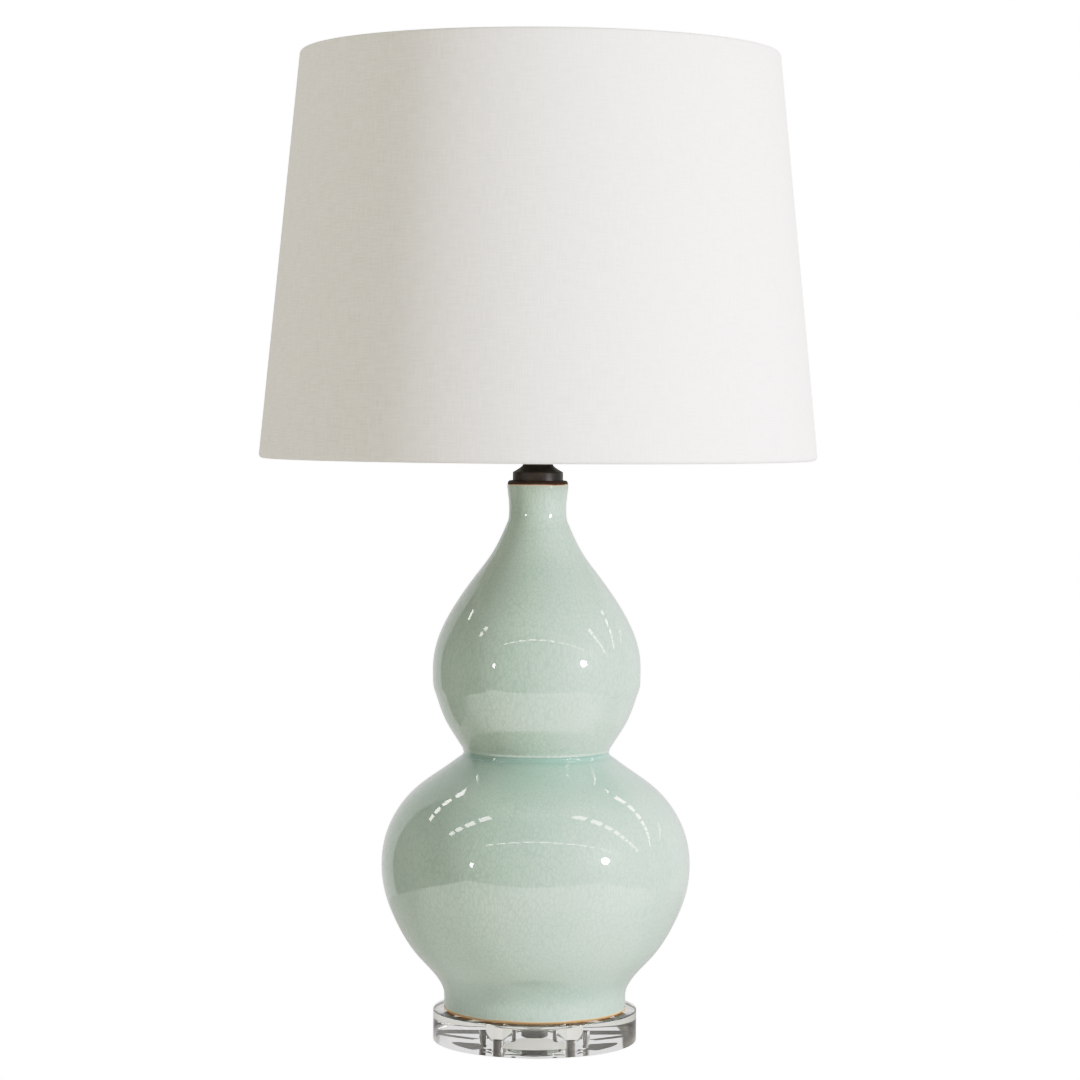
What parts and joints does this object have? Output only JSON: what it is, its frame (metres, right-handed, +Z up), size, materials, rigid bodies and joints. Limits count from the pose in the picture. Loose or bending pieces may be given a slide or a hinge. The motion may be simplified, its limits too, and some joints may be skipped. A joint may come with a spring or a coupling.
{
  "type": "table lamp",
  "caption": "Table lamp with a double-gourd ceramic body on a clear disc, a harp and a tapered drum shade.",
  "frame": {"origin": "on the table, under the centre of the lamp", "axes": "+Z up along the lamp's axis; the cord inlet is at the back, +Y; the harp's legs stand at -X and +X"},
  "size_m": [0.3804, 0.3804, 0.6862],
  "materials": {
    "linen": "off-white linen, fine plain weave with slubs",
    "shade_backing": "white styrene sheet",
    "white_wire": "white powder coat",
    "glaze": "pale celadon crackle glaze",
    "bronze": "dark bronze, semi-matt",
    "acrylic": "clear, polished",
    "foot_rubber": "dark grey-brown, ribbed",
    "zinc_steel": "zinc plated",
    "black_rubber": "matt",
    "grommet": "dark brown nylon",
    "brass": "turned, plain",
    "card": "varnished fibre",
    "phenolic": "black moulding",
    "aluminium": "thin pressed sheet",
    "bulb_glass": "soft white coating inside",
    "black_glass": "black glass insulator"
  },
  "bodies": {
    "lamp_base": {"bumper_feet": "foot_rubber", "acrylic_base": "acrylic", "base_washer": "zinc_steel", "base_lock_washer": "zinc_steel", "base_nut": "zinc_steel", "lamp_pipe": "zinc_steel", "vase_body": "glaze", "cord_grommet": "grommet", "cap_centring_ring": "black_rubber", "vase_cap": "bronze", "harp_saddle": "bronze", "socket_cap": "bronze", "socket_shell": "bronze", "socket_liner": "card", "socket_core": "phenolic", "terminal_screws": "brass", "screw_shell": "aluminium", "centre_contact": "brass"},
    "switch": {"switch_shaft": "brass", "switch_knob": "phenolic"},
    "bulb": {"bulb_glass": "bulb_glass", "bulb_base": "aluminium", "bulb_insulator": "black_glass", "bulb_contact": "brass"},
    "harp": {"harp_wire": "bronze"},
    "ferrule_left": {"ferrule_left": "bronze"},
    "ferrule_right": {"ferrule_right": "bronze"},
    "swivel": {"harp_stud": "bronze"},
    "shade": {"shade_linen": "linen", "shade_backing": "shade_backing", "bottom_ring": "white_wire", "spider_fitter": "white_wire"},
    "finial": {"finial_body": "bronze", "finial_insert": "brass"}
  },
  "joints": [
    {"name": "switch_turn", "type": "hinge", "parent": "lamp_base", "child": "switch", "pos_m": [0, -0.02, 0.4231], "axis": [0, -1, 0], "continuous": true},
    {"name": "bulb_unscrew", "type": "slide", "parent": "lamp_base", "child": "bulb", "axis": [0, 0, 1], "range_m": [0, 0.026]},
    {"name": "harp_lift", "type": "slide", "parent": "lamp_base", "child": "harp", "axis": [0, 0, 1], "range_m": [0, 0.03]},
    {"name": "ferrule_left_slide", "type": "slide", "parent": "harp", "child": "ferrule_left", "axis": [0, 0, 1], "range_m": [0, 0.018]},
    {"name": "ferrule_right_slide", "type": "slide", "parent": "harp", "child": "ferrule_right", "axis": [0, 0, 1], "range_m": [0, 0.018]},
    {"name": "shade_swivel", "type": "hinge", "parent": "harp", "child": "swivel", "pos_m": [0, 0, 0.652], "axis": [0, 0, 1], "continuous": true},
    {"name": "shade_lift", "type": "slide", "parent": "swivel", "child": "shade", "axis": [0, 0, 1], "range_m": [0, 0.28]},
    {"name": "finial_unscrew", "type": "slide", "parent": "shade", "child": "finial", "axis": [0, 0, 1], "range_m": [0, 0.03]}
  ]
}
